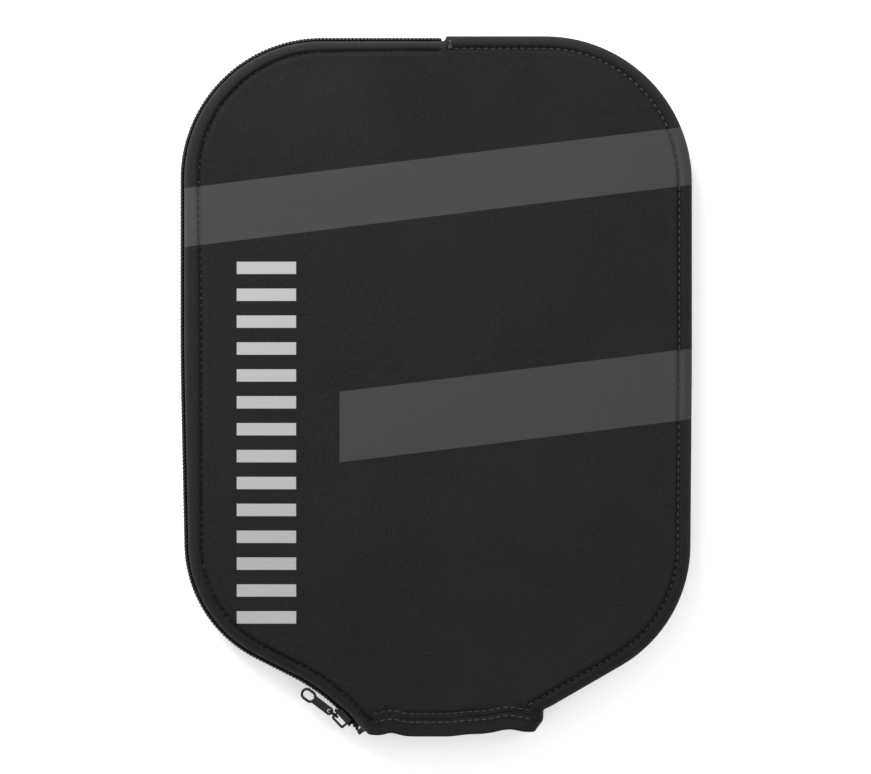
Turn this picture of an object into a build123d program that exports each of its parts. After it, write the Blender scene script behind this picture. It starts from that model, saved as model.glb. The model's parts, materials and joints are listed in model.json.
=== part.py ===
from build123d import *
import os
from math import cos, degrees, radians, sin, tan

# Zip-up neoprene cover for a racket-sports paddle, lying on its back panel. Millimetres.
# X is the width, Y the length (mouth at -Y), Z the thickness; the front panel faces +Z.
# The origin is the bottom centre of the whole case. The zip runs down the -X side.

# Case body
CASE_WIDTH = 220.0
CASE_LENGTH = 301.0
PADDLE_ROOM = 18.0  # free thickness inside
NEOPRENE = 3.0
CORNER_RADIUS = 60.0
EDGE_RADIUS = 5.0  # roll of each panel at the rim

# Mouth and shoulders
MOUTH_LEFT = -32.0
MOUTH_RIGHT = 42.8
NOTCH_X = 46.3  # end of the sewn side
NOTCH_RISE = 11.7
NOTCH_RADIUS = 4.0
SEAM_SHOULDER_ANGLE = 30.0
ZIP_SHOULDER_ANGLE = 27.0
ZIP_NECK_ANGLE = 52.0
ZIP_NECK_RUN = 21.8  # from the mouth to the bend between neck and shoulder
BEND_RADIUS = 80.0
RUN_ON = 22.0  # how far blanks run past the mouth before they are cut

# Zip
ZIP_START = 2.0
SEAM_START = 4.0
ZIP_GAP = 12.0  # between the two neoprene lips
COIL_DEPTH = 2.3
COIL_HALF_WIDTH = 2.9
CHAIN_SPLIT = 0.15
COIL_END_SPACE = 3.4
TAPE_THICK = 0.6
TAPE_EDGE = 1.3  # tape edge to the middle of the chain
TAPE_TURN = 4.4  # where the tape turns in behind the lip
TAPE_LAP = 6.2  # tape under the panel, past the rolled rim
SEATING = 0.05
CLEAR = 0.3
SMALL_ROUND = 0.3
STOP_LENGTH = 2.0
BARTACK_WIDTH = 1.6

# Fold of the front panel
FOLD_TOP_X = 3.1
FOLD_GAP = 0.3

# Stitching
THREAD_WIDTH = 0.7
THREAD_HEIGHT = 0.4
GROOVE_DEPTH = 0.5
ZIP_STITCH_INSET = 8.8
SEAM_STITCH_INSET = 5.8
HEM_ROWS = (6.5, 9.5)

# Slider, in its own directions: along the zip, across it and outward
SLIDER_FROM_MOUTH = 11.5
SLIDER_LENGTH = 9.5
SLIDER_HALF_WIDTH = 4.3
SLIDER_CORNER = 1.0
PLATE = 1.0
FLANGE_CLEAR = 0.6
FLANGE_SETBACK = 1.5  # from each end of the outer plate
INNER_SETBACK = 0.5
INNER_PLATE_HALF_WIDTH = 3.6
POST_LENGTH = 2.0
POST_HALF_WIDTH = 1.0
BAIL_LENGTH = 7.0
BAIL_HALF_WIDTH = 1.0
BAIL_ROOM = 2.2
BAIL_STRIP = 1.0

# Pull
LINK_WIRE_RADIUS = 0.5
LINK_REACH = 4.4
LINK_CORNER_RADIUS = 0.9
LINK_TILT = 10.0
TAB_LENGTH = 16.5
TAB_THICK = 1.5
TAB_EYE_RADIUS = 1.8
TAB_WAIST_HALF_WIDTH = 1.75
TAB_HOLE_LENGTH = 5.0
TAB_HOLE_WIDTH = 3.2
TAB_RIM = 1.1  # metal round the hole
TAB_TILT = 9.5

# Worked out from the above
CASE_THICK = PADDLE_ROOM + 2 * NEOPRENE
MID = CASE_THICK / 2
HALF_WIDTH = CASE_WIDTH / 2
TOP_Y = CASE_LENGTH / 2
MOUTH_Y = -CASE_LENGTH / 2


def on_slope(start, angle, run):
    """The point a given run from start, along a slope of angle degrees."""
    return (start[0] + run * cos(radians(angle)), start[1] + run * sin(radians(angle)))


NOTCH = (NOTCH_X, MOUTH_Y + NOTCH_RISE)
SEAM_FOOT = (HALF_WIDTH, NOTCH[1] + (HALF_WIDTH - NOTCH_X) * tan(radians(SEAM_SHOULDER_ANGLE)))
TONGUE_LEAN = (NOTCH_X - MOUTH_RIGHT) / NOTCH_RISE
SEAM_RUN_ON = (MOUTH_RIGHT - RUN_ON * TONGUE_LEAN, MOUTH_Y - RUN_ON)
ZIP_BEND = on_slope((MOUTH_LEFT, MOUTH_Y), 180 - ZIP_NECK_ANGLE, ZIP_NECK_RUN)
ZIP_FOOT = (-HALF_WIDTH, ZIP_BEND[1] + (ZIP_BEND[0] + HALF_WIDTH) * tan(radians(ZIP_SHOULDER_ANGLE)))
ZIP_RUN_ON = (MOUTH_LEFT + RUN_ON / tan(radians(ZIP_NECK_ANGLE)), MOUTH_Y - RUN_ON)

# The bend of the zip's neck is an arc about a point outside the case
BEND_HALF_TURN = (ZIP_NECK_ANGLE - ZIP_SHOULDER_ANGLE) / 2
BEND_START_RUN = ZIP_NECK_RUN - BEND_RADIUS * tan(radians(BEND_HALF_TURN))
BEND_START = on_slope((MOUTH_LEFT, MOUTH_Y), 180 - ZIP_NECK_ANGLE, BEND_START_RUN)
BEND_CENTRE = on_slope(BEND_START, 270 - ZIP_NECK_ANGLE, BEND_RADIUS)

CUT_AT_MOUTH = Plane(origin=(0, MOUTH_Y, 0), z_dir=(0, 1, 0))
ZIP_SIDE = Plane(origin=(SEAM_START, 0, 0), z_dir=(-1, 0, 0))
FOLD_RUN = Vector(NOTCH[0] - FOLD_TOP_X, NOTCH[1] - TOP_Y, 0).normalized()
FOLD = Plane(origin=(FOLD_TOP_X, TOP_Y, CASE_THICK), x_dir=FOLD_RUN, z_dir=(FOLD_RUN.Y, -FOLD_RUN.X, 0))


def outline(inset):
    """The case seen from the front, run on past the mouth, moved in all round by inset."""
    with BuildSketch() as shape:
        with BuildLine():
            rim = FilletPolyline(
                SEAM_RUN_ON,
                NOTCH,
                SEAM_FOOT,
                (HALF_WIDTH, TOP_Y),
                (-HALF_WIDTH, TOP_Y),
                ZIP_FOOT,
                ZIP_BEND,
                ZIP_RUN_ON,
                radius=[NOTCH_RADIUS] + [CORNER_RADIUS] * 4 + [BEND_RADIUS],
            )
            Line(rim @ 1, rim @ 0)
        make_face()
        if inset > 0:
            offset(amount=-inset)
    return shape.sketch


def rolled_block(inset, skin, roll):
    """The outline as a thick block with its rims rolled over, skin in from each broad face."""
    with BuildPart() as block:
        with BuildSketch(Plane.XY.offset(skin)):
            add(outline(inset))
        extrude(amount=CASE_THICK - 2 * skin)
        rims = block.edges().filter_by(Plane.XY).sort_by(Axis.Y)[2:]
        fillet(rims, roll)
    return block.part


def hollow(inset, keep):
    """The empty case with its wall inset from the outline, cut at the end of the sewn side."""
    with BuildPart() as body:
        add(rolled_block(inset, 0, EDGE_RADIUS))
        add(rolled_block(inset + NEOPRENE, NEOPRENE, EDGE_RADIUS - NEOPRENE), mode=Mode.SUBTRACT)
        split(bisect_by=ZIP_SIDE, keep=keep)
        split(bisect_by=CUT_AT_MOUTH, keep=Keep.TOP)
    return body.part


def along(path, sections):
    """Solids with the given sections, as (inset, height, width, thickness), swept along a path."""
    start = Plane(origin=(*tuple(path @ 0)[:2], MID), x_dir=(0, -1, 0), z_dir=(-1, 0, 0))
    with BuildPart() as runs:
        for inset, height, width, thickness in sections:
            with BuildSketch(start):
                with Locations((inset, height)):
                    Rectangle(width, thickness)
            sweep(path=path)
    return runs.part


def rows(sections):
    """Straight runs across the mouth's hem, as (distance from the mouth, height, width, thickness)."""
    left = MOUTH_LEFT + ZIP_STITCH_INSET / sin(radians(ZIP_NECK_ANGLE))
    right = MOUTH_RIGHT - SEAM_STITCH_INSET - THREAD_WIDTH
    with BuildPart() as runs:
        for rise, height, width, thickness in sections:
            with Locations(((left + right) / 2, MOUTH_Y + rise, MID + height)):
                Box(right - left, width, thickness)
    return runs.part


def threads(insets, side):
    """Sections of threads that lie just under a broad face; side is 1 for front, -1 for back."""
    height = MID - GROOVE_DEPTH + THREAD_HEIGHT / 2
    return [(inset, side * height, THREAD_WIDTH, THREAD_HEIGHT) for inset in insets]


def grooves(insets, side):
    """Sections of the grooves that the threads lie in, open at the broad face."""
    width = THREAD_WIDTH + 2 * SEATING
    return [(inset, side * MID, width, 2 * (GROOVE_DEPTH + SEATING)) for inset in insets]


with BuildLine() as zip_line:
    FilletPolyline(
        (ZIP_START, TOP_Y),
        (-HALF_WIDTH, TOP_Y),
        ZIP_FOOT,
        ZIP_BEND,
        ZIP_RUN_ON,
        radius=[CORNER_RADIUS, CORNER_RADIUS, BEND_RADIUS],
    )

with BuildLine() as seam_line:
    FilletPolyline(
        (SEAM_START, TOP_Y),
        (HALF_WIDTH, TOP_Y),
        SEAM_FOOT,
        NOTCH,
        radius=[CORNER_RADIUS, CORNER_RADIUS],
    )

zip_path = zip_line.wires()[0]
seam_path = seam_line.wires()[0]
zip_hollow = hollow(COIL_DEPTH, Keep.TOP)
seam_hollow = hollow(0, Keep.BOTTOM)


def panel(side):
    """One neoprene panel with its stitch grooves; side is 1 for front, -1 for back."""
    keep = Keep.TOP if side > 0 else Keep.BOTTOM
    with BuildPart() as zip_part:
        add(zip_hollow)
        split(bisect_by=Plane.XY.offset(MID + side * ZIP_GAP / 2), keep=keep)
    with BuildPart() as whole:
        add(seam_hollow)
        split(bisect_by=Plane.XY.offset(MID), keep=keep)
        add(zip_part.part)
        add(along(zip_path, grooves([ZIP_STITCH_INSET], side)), mode=Mode.SUBTRACT)
        add(along(seam_path, grooves([SEAM_STITCH_INSET], side)), mode=Mode.SUBTRACT)
        add(rows(grooves(HEM_ROWS, side)), mode=Mode.SUBTRACT)
    return whole.part


front = panel(1)

with BuildPart() as back_panel:
    add(panel(-1))

with BuildPart() as front_panel_flap:
    add(front)
    split(bisect_by=FOLD.offset(FOLD_GAP / 2), keep=Keep.TOP)
    split(bisect_by=Plane.XY.offset(MID + CLEAR), keep=Keep.TOP)

with BuildPart() as front_panel_fixed:
    add(front)
    split(bisect_by=FOLD.offset(-FOLD_GAP / 2), keep=Keep.BOTTOM)

# Zip: tapes that follow the inside of the rolled rims, and the two halves of the coil
CHAIN_START = Plane(origin=(ZIP_START, TOP_Y, MID), x_dir=(0, -1, 0), z_dir=(-1, 0, 0))
LIP_INSIDE = COIL_DEPTH + NEOPRENE + SEATING
ROLL_CENTRE = (COIL_DEPTH + EDGE_RADIUS, MID - EDGE_RADIUS)
ROLL_OUTSIDE = EDGE_RADIUS - NEOPRENE - SEATING
ROLL_INSIDE = ROLL_OUTSIDE - TAPE_THICK
TAPE_OUTSIDE = COIL_DEPTH + SEATING
TAPE_END = ROLL_CENTRE[0] + TAPE_LAP

with BuildPart() as front_zip_tape:
    with BuildSketch(CHAIN_START):
        with BuildLine():
            outer_rise = Polyline(
                (TAPE_OUTSIDE, TAPE_EDGE),
                (TAPE_OUTSIDE, TAPE_TURN),
                (LIP_INSIDE, ZIP_GAP / 2),
                (LIP_INSIDE, ROLL_CENTRE[1]),
            )
            outer_roll = CenterArc(ROLL_CENTRE, ROLL_OUTSIDE, 90, 90)
            inner_roll = CenterArc(ROLL_CENTRE, ROLL_INSIDE, 90, 90)
            Polyline(
                (ROLL_CENTRE[0], ROLL_CENTRE[1] + ROLL_OUTSIDE),
                (TAPE_END, ROLL_CENTRE[1] + ROLL_OUTSIDE),
                (TAPE_END, ROLL_CENTRE[1] + ROLL_INSIDE),
                (ROLL_CENTRE[0], ROLL_CENTRE[1] + ROLL_INSIDE),
            )
            Polyline(
                (LIP_INSIDE + TAPE_THICK, ROLL_CENTRE[1]),
                (LIP_INSIDE + TAPE_THICK, ZIP_GAP / 2 - TAPE_THICK / 2),
                (TAPE_OUTSIDE + TAPE_THICK, TAPE_TURN - TAPE_THICK / 2),
                (TAPE_OUTSIDE + TAPE_THICK, TAPE_EDGE),
                (TAPE_OUTSIDE, TAPE_EDGE),
            )
        make_face()
    sweep(path=zip_path)
    split(bisect_by=CUT_AT_MOUTH, keep=Keep.TOP)

with BuildPart() as back_zip_tape:
    mirror(front_zip_tape.part, about=Plane.XY.offset(MID))

# Slider's place on the bend, and the directions it is built in
SLIDER_TURN = degrees((SLIDER_FROM_MOUTH - BEND_START_RUN) / BEND_RADIUS)
SLIDER_ANGLE = 90 - ZIP_NECK_ANGLE + SLIDER_TURN
SLIDER_AT = on_slope(BEND_CENTRE, SLIDER_ANGLE, BEND_RADIUS)
ALONG = Vector(-sin(radians(SLIDER_ANGLE)), cos(radians(SLIDER_ANGLE)), 0)
OUTWARD = Vector(-cos(radians(SLIDER_ANGLE)), -sin(radians(SLIDER_ANGLE)), 0)
SLIDER_TOP = Plane(origin=(*SLIDER_AT, MID), x_dir=ALONG, z_dir=(0, 0, 1))  # X along, Y outward
SLIDER_FACE = Plane(origin=(*SLIDER_AT, MID), x_dir=ALONG, z_dir=OUTWARD)  # X along, Y across
PLATE_FACE = CLEAR + PLATE
INNER_PLATE_FACE = COIL_DEPTH + SEATING + TAPE_THICK + CLEAR
POST_X = -SLIDER_LENGTH / 2 + POST_LENGTH

with BuildPart() as chain_opening:
    with BuildSketch(SLIDER_TOP):
        with Locations((POST_X + CLEAR, -COIL_DEPTH / 2)):
            Rectangle(SLIDER_FROM_MOUTH + RUN_ON, 2 * COIL_DEPTH, align=(Align.MAX, Align.CENTER))
    extrude(amount=POST_HALF_WIDTH + CLEAR, both=True)

UP_THE_NECK = (-cos(radians(ZIP_NECK_ANGLE)), sin(radians(ZIP_NECK_ANGLE)), 0)
COIL_END = Plane(origin=(MOUTH_LEFT, MOUTH_Y, 0), z_dir=UP_THE_NECK)

with BuildPart() as front_zip_coil:
    with BuildSketch(CHAIN_START):
        with Locations((COIL_DEPTH / 2, (COIL_HALF_WIDTH + CHAIN_SPLIT) / 2)):
            Rectangle(COIL_DEPTH, COIL_HALF_WIDTH - CHAIN_SPLIT)
    sweep(path=zip_path)
    split(bisect_by=COIL_END.offset(COIL_END_SPACE), keep=Keep.TOP)
    add(chain_opening.part, mode=Mode.SUBTRACT)

with BuildPart() as back_zip_coil:
    mirror(front_zip_coil.part, about=Plane.XY.offset(MID))

with BuildPart() as front_zip_stop:
    with BuildSketch(Plane.XY.offset(MID + TAPE_EDGE)):
        with Locations(Plane(origin=(MOUTH_LEFT, MOUTH_Y, 0), x_dir=UP_THE_NECK, z_dir=(0, 0, 1))):
            with Locations((COIL_END_SPACE - CLEAR, -COIL_DEPTH / 2)):
                Rectangle(STOP_LENGTH, COIL_DEPTH, align=(Align.MAX, Align.CENTER))
    extrude(amount=COIL_HALF_WIDTH - TAPE_EDGE)
    fillet(front_zip_stop.edges().filter_by(Axis.Z), SMALL_ROUND)

with BuildPart() as back_zip_stop:
    mirror(front_zip_stop.part, about=Plane.XY.offset(MID))

with BuildPart() as zip_end_bartack:
    with Locations((SEAM_START - BARTACK_WIDTH / 2, TOP_Y - COIL_DEPTH - NEOPRENE / 2, MID)):
        Box(BARTACK_WIDTH - 2 * SEATING, NEOPRENE, ZIP_GAP - 2 * SEATING)
    fillet(zip_end_bartack.edges().filter_by(Axis.Z), SMALL_ROUND)

# Stitching
with BuildPart() as front_zip_stitching:
    add(along(zip_path, threads([ZIP_STITCH_INSET], 1)))
    split(bisect_by=CUT_AT_MOUTH, keep=Keep.TOP)

with BuildPart() as back_zip_stitching:
    mirror(front_zip_stitching.part, about=Plane.XY.offset(MID))

with BuildPart() as front_seam_stitching:
    add(along(seam_path, threads([SEAM_STITCH_INSET], 1)))
    split(bisect_by=FOLD.offset(-FOLD_GAP), keep=Keep.BOTTOM)

with BuildPart() as back_seam_stitching:
    mirror(front_seam_stitching.part, about=Plane.XY.offset(MID))

with BuildPart() as front_hem_stitching:
    add(rows(threads(HEM_ROWS, 1)))

with BuildPart() as back_hem_stitching:
    mirror(front_hem_stitching.part, about=Plane.XY.offset(MID))

# Slider: an outer plate with side flanges round the coils, and an inner plate behind the tapes
with BuildPart() as slider_body:
    with BuildSketch(SLIDER_FACE.offset(CLEAR)) as plate:
        Rectangle(SLIDER_LENGTH, 2 * SLIDER_HALF_WIDTH)
        chamfer(plate.vertices().group_by(Axis.X)[-1], SLIDER_CORNER)
        fillet(plate.vertices().group_by(Axis.X)[0], SLIDER_CORNER)
    extrude(amount=PLATE)
    with BuildSketch(SLIDER_FACE.offset(CLEAR)):
        for side in (-1, 1):
            with Locations((0, side * (SLIDER_HALF_WIDTH + COIL_HALF_WIDTH + CLEAR) / 2)):
                Rectangle(SLIDER_LENGTH - 2 * FLANGE_SETBACK, SLIDER_HALF_WIDTH - COIL_HALF_WIDTH - CLEAR)
    extrude(amount=-(COIL_DEPTH + CLEAR + SEATING - FLANGE_CLEAR))
    with BuildSketch(SLIDER_FACE.offset(-INNER_PLATE_FACE)):
        Rectangle(SLIDER_LENGTH - 2 * INNER_SETBACK, 2 * INNER_PLATE_HALF_WIDTH)
    extrude(amount=-PLATE)
    with BuildSketch(SLIDER_TOP):
        with Locations((POST_X, CLEAR)):
            Rectangle(
                POST_LENGTH - INNER_SETBACK, INNER_PLATE_FACE + CLEAR, align=(Align.MAX, Align.MAX)
            )
    extrude(amount=POST_HALF_WIDTH, both=True)

with BuildPart() as slider_bail:
    with BuildSketch(SLIDER_TOP) as arch:
        with Locations((0, PLATE_FACE)):
            Rectangle(BAIL_LENGTH, BAIL_ROOM + BAIL_STRIP, align=(Align.CENTER, Align.MIN))
        fillet(arch.vertices().group_by(Axis.Y)[-1], BAIL_STRIP)
        with Locations((0, PLATE_FACE)):
            Rectangle(
                BAIL_LENGTH - 2 * BAIL_STRIP, BAIL_ROOM, align=(Align.CENTER, Align.MIN), mode=Mode.SUBTRACT
            )
    extrude(amount=BAIL_HALF_WIDTH, both=True)

# Pull: a wire link through the bail, and the tab that hangs on it
LINK_PIVOT = SLIDER_TOP.from_local_coords(
    Vector(BAIL_LENGTH / 2 - BAIL_STRIP - CLEAR - LINK_WIRE_RADIUS, PLATE_FACE + BAIL_ROOM / 2, 0)
)
LINK_TOP = Plane(origin=LINK_PIVOT, x_dir=ALONG.rotate(Axis.Z, LINK_TILT), z_dir=(0, 0, 1))
LINK_FACE = Plane(origin=LINK_PIVOT, x_dir=LINK_TOP.x_dir, z_dir=-LINK_TOP.y_dir)
LINK_HALF_HEIGHT = BAIL_HALF_WIDTH + CLEAR + SEATING + LINK_WIRE_RADIUS

with BuildPart() as pull_link:
    with BuildLine(LINK_FACE) as ring:
        FilletPolyline(
            (0, -LINK_HALF_HEIGHT),
            (LINK_REACH, -LINK_HALF_HEIGHT),
            (LINK_REACH, LINK_HALF_HEIGHT),
            (0, LINK_HALF_HEIGHT),
            radius=LINK_CORNER_RADIUS,
            close=True,
        )
    ring_path = ring.wires()[0]
    with BuildSketch(Plane(origin=ring_path @ 0, z_dir=ring_path % 0)):
        Circle(LINK_WIRE_RADIUS)
    sweep(path=ring_path)

TAB_PIVOT = LINK_TOP.from_local_coords(Vector(LINK_REACH, 0, 0))
TAB_TOP = Plane(origin=TAB_PIVOT, x_dir=ALONG.rotate(Axis.Z, TAB_TILT), z_dir=(0, 0, 1))
HOLE_X = TAB_LENGTH - TAB_EYE_RADIUS - TAB_RIM - TAB_HOLE_LENGTH / 2

with BuildPart() as pull_tab:
    with BuildSketch(TAB_TOP):
        Circle(TAB_EYE_RADIUS)
        Rectangle(HOLE_X, 2 * TAB_WAIST_HALF_WIDTH, align=(Align.MIN, Align.CENTER))
        with Locations((HOLE_X, 0)):
            SlotOverall(TAB_HOLE_LENGTH + 2 * TAB_RIM, TAB_HOLE_WIDTH + 2 * TAB_RIM)
            SlotOverall(TAB_HOLE_LENGTH, TAB_HOLE_WIDTH, mode=Mode.SUBTRACT)
        Circle(LINK_WIRE_RADIUS + CLEAR, mode=Mode.SUBTRACT)
    extrude(amount=TAB_THICK / 2, both=True)

os.makedirs("parts", exist_ok=True)

back_panel.part.label = "back_panel"
export_step(back_panel.part, "parts/back_panel.step")

front_panel_flap.part.label = "front_panel_flap"
export_step(front_panel_flap.part, "parts/front_panel_flap.step")

front_panel_fixed.part.label = "front_panel_fixed"
export_step(front_panel_fixed.part, "parts/front_panel_fixed.step")

front_zip_tape.part.label = "front_zip_tape"
export_step(front_zip_tape.part, "parts/front_zip_tape.step")

back_zip_tape.part.label = "back_zip_tape"
export_step(back_zip_tape.part, "parts/back_zip_tape.step")

front_zip_coil.part.label = "front_zip_coil"
export_step(front_zip_coil.part, "parts/front_zip_coil.step")

back_zip_coil.part.label = "back_zip_coil"
export_step(back_zip_coil.part, "parts/back_zip_coil.step")

front_zip_stop.part.label = "front_zip_stop"
export_step(front_zip_stop.part, "parts/front_zip_stop.step")

back_zip_stop.part.label = "back_zip_stop"
export_step(back_zip_stop.part, "parts/back_zip_stop.step")

zip_end_bartack.part.label = "zip_end_bartack"
export_step(zip_end_bartack.part, "parts/zip_end_bartack.step")

front_zip_stitching.part.label = "front_zip_stitching"
export_step(front_zip_stitching.part, "parts/front_zip_stitching.step")

back_zip_stitching.part.label = "back_zip_stitching"
export_step(back_zip_stitching.part, "parts/back_zip_stitching.step")

front_seam_stitching.part.label = "front_seam_stitching"
export_step(front_seam_stitching.part, "parts/front_seam_stitching.step")

back_seam_stitching.part.label = "back_seam_stitching"
export_step(back_seam_stitching.part, "parts/back_seam_stitching.step")

front_hem_stitching.part.label = "front_hem_stitching"
export_step(front_hem_stitching.part, "parts/front_hem_stitching.step")

back_hem_stitching.part.label = "back_hem_stitching"
export_step(back_hem_stitching.part, "parts/back_hem_stitching.step")

slider_body.part.label = "slider_body"
export_step(slider_body.part, "parts/slider_body.step")

slider_bail.part.label = "slider_bail"
export_step(slider_bail.part, "parts/slider_bail.step")

pull_link.part.label = "pull_link"
export_step(pull_link.part, "parts/pull_link.step")

pull_tab.part.label = "pull_tab"
export_step(pull_tab.part, "parts/pull_tab.step")
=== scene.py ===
import json
import math

import bmesh
import bpy
import numpy as np
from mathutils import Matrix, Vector
from mathutils.bvhtree import BVHTree
from mathutils.geometry import delaunay_2d_cdt

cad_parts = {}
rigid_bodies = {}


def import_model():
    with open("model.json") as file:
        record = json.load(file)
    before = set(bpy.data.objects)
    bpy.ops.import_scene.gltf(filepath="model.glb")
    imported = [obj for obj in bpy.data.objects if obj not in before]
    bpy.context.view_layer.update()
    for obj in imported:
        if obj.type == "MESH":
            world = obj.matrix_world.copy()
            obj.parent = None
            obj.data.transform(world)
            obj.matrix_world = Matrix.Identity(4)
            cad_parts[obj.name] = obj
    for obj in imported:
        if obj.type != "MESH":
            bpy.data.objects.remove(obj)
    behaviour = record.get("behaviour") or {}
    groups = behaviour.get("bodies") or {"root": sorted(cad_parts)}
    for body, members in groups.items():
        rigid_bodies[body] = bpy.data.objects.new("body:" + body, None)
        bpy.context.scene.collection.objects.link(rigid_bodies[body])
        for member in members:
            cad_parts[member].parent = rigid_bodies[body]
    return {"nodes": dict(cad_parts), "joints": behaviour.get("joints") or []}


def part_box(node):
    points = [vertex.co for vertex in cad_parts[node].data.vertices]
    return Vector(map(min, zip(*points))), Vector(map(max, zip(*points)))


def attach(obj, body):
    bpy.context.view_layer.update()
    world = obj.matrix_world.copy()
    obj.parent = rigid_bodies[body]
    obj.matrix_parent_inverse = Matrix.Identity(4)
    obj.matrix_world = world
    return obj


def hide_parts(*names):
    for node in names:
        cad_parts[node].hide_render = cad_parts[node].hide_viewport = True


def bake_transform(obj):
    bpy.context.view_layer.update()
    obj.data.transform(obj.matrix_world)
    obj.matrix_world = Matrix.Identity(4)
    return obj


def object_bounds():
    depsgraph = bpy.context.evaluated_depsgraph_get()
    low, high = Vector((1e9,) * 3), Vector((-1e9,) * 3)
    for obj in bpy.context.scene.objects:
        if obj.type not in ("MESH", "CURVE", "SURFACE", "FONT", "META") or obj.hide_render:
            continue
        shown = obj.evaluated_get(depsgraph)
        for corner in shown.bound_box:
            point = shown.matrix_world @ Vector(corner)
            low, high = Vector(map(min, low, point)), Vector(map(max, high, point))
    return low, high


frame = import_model()
CAD_LOW, CAD_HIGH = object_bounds()

# Lengths below are in millimetres unless a name ends in _M; meshes are made in metres.
MM = 0.001
JOINTS = {joint["name"]: joint for joint in frame["joints"]}

# The case, from the CAD model's own box
HALF_WIDTH = (CAD_HIGH.x - CAD_LOW.x) / 2 / MM
TOP_Y = CAD_HIGH.y / MM
MOUTH_Y = CAD_LOW.y / MM
THICK = CAD_HIGH.z / MM
MID = THICK / 2
NEOPRENE = 3.0
ZIP_CORNER_RADIUS = 56.0  # the lower corners, at the two shoulders
SEAM_CORNER_RADIUS = 60.0
TOP_RADII = (61.0, 63.0)  # the top corners, on the zip's side and on the sewn side
ROLL_RADIUS = 5.0

# Mouth and shoulders, with each shoulder's slope from level
MOUTH_LEFT = -32.0
MOUTH_RIGHT = 42.8
NOTCH = (46.3, MOUTH_Y + 11.7)
NOTCH_RADIUS = 1.5
TONGUE = (46.2, MOUTH_Y + 5.5)
TONGUE_RADIUS = 6.0
SEAM_SHOULDER = math.radians(30)
ZIP_SHOULDER = math.radians(27)
ZIP_NECK = math.radians(52)
ZIP_NECK_RUN = 21.8
BEND_RADIUS = 80.0
ZIP_TAPER = 2.4  # how far each side draws in towards its shoulder
SEAM_TAPER = 0.9
TAPER_FROM_Y = 10.0
TAPER_RADIUS = 1500.0

# Zip
ZIP_START = 2.0
SEAM_START = 4.1
COIL_DEPTH = 2.3
LIP = 6.0
TAPE_THICK = 0.6
COIL_PITCH = 1.6
FILAMENT = 0.4
CORE_RADIUS = 0.62

# Stitching
STITCH_PITCH = 3.1
STITCH_LENGTH = 2.5
THREAD_RADIUS = 0.24
SEAM_STITCH = 5.6
HEM_ROWS = (5.2, 8.8)
STITCH_ARCH = 0.3
BARTACK_X = 6.2
BARTACK_HALF_WIDTH = 0.85
BARTACK_THREADS = 10
BARTACK_PITCH = 0.34

RING_INSET = 12.5  # where the rim's rows of faces end and the broad face begins
MOUTH_TURN = 24.0  # length of rim over which its rows of faces turn to meet the mouth
HEM_REACH = 15.0  # how far up from the mouth the hem's waves draw the panel
HEM_LOWEST = 1.8  # the hemmed edge stands at least this far above the CAD's mouth


def smooth(low, high, value):
    """0 below low, 1 above high, and a smooth step between them."""
    t = np.clip((np.asarray(value, float) - low) / (high - low), 0, 1)
    return t * t * (3 - 2 * t)


def bell(value, centre, width):
    """1 at centre, falling away on both sides."""
    return np.exp(-(((np.asarray(value, float) - centre) / width) ** 2))


# ---------------------------------------------------------------- outline


def filleted(points, radii):
    """A polyline with rounded corners, as points and their running lengths."""
    found = [np.array(points[0], float)]
    for before, corner, after, radius in zip(points, points[1:], points[2:], radii):
        before, corner, after = (np.array(p, float) for p in (before, corner, after))
        back = (before - corner) / np.linalg.norm(before - corner)
        ahead = (after - corner) / np.linalg.norm(after - corner)
        half = math.acos(np.clip(back @ ahead, -1, 1)) / 2
        middle = (back + ahead) / np.linalg.norm(back + ahead)
        centre = corner + middle * radius / math.sin(half)
        first = corner + back * radius / math.tan(half) - centre
        last = corner + ahead * radius / math.tan(half) - centre
        start = math.atan2(first[1], first[0])
        turn = math.remainder(math.atan2(last[1], last[0]) - start, 2 * math.pi)
        count = max(8, int(abs(turn) * radius / 0.25))
        for angle in start + np.linspace(0, turn, count):
            found.append(centre + radius * np.array([math.cos(angle), math.sin(angle)]))
    found.append(np.array(points[-1], float))
    found = np.array(found)
    lengths = np.concatenate([[0], np.cumsum(np.linalg.norm(np.diff(found, axis=0), axis=1))])
    keep = np.concatenate([[True], np.diff(lengths) > 1e-6])
    found, lengths = found[keep], lengths[keep]
    return found, lengths


class Route:
    """A line round the case that gives a point and its outward normal at any length."""

    def __init__(self, points, radii):
        self.found, self.lengths = filleted(points, radii)
        self.total = self.lengths[-1]

    def at(self, run):
        """Points and outward normals at the given lengths; the case is on the right of the line."""
        run = np.asarray(run, float)
        spots = [np.interp(run, self.lengths, self.found[:, axis]) for axis in (0, 1)]
        reach = 0.5
        ahead = [np.interp(run + reach, self.lengths, self.found[:, axis]) for axis in (0, 1)]
        behind = [np.interp(run - reach, self.lengths, self.found[:, axis]) for axis in (0, 1)]
        along = np.stack(ahead, -1) - np.stack(behind, -1)
        along /= np.linalg.norm(along, axis=-1, keepdims=True)
        return np.stack(spots, -1), np.stack([-along[..., 1], along[..., 0]], -1)

    def where(self, x, y):
        """The length at which the line passes nearest to a point."""
        run = np.linspace(0, self.total, int(self.total / 0.05))
        return float(run[np.argmin(np.linalg.norm(self.at(run)[0] - np.array([x, y]), axis=1))])


neck_side = (-math.cos(ZIP_NECK), math.sin(ZIP_NECK))
zip_bend = (MOUTH_LEFT + ZIP_NECK_RUN * neck_side[0], MOUTH_Y + ZIP_NECK_RUN * neck_side[1])
zip_waist = -HALF_WIDTH + ZIP_TAPER
seam_waist = HALF_WIDTH - SEAM_TAPER
zip_foot = (zip_waist, zip_bend[1] + (zip_bend[0] - zip_waist) * math.tan(ZIP_SHOULDER))
seam_foot = (seam_waist, NOTCH[1] + (seam_waist - NOTCH[0]) * math.tan(SEAM_SHOULDER))

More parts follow.
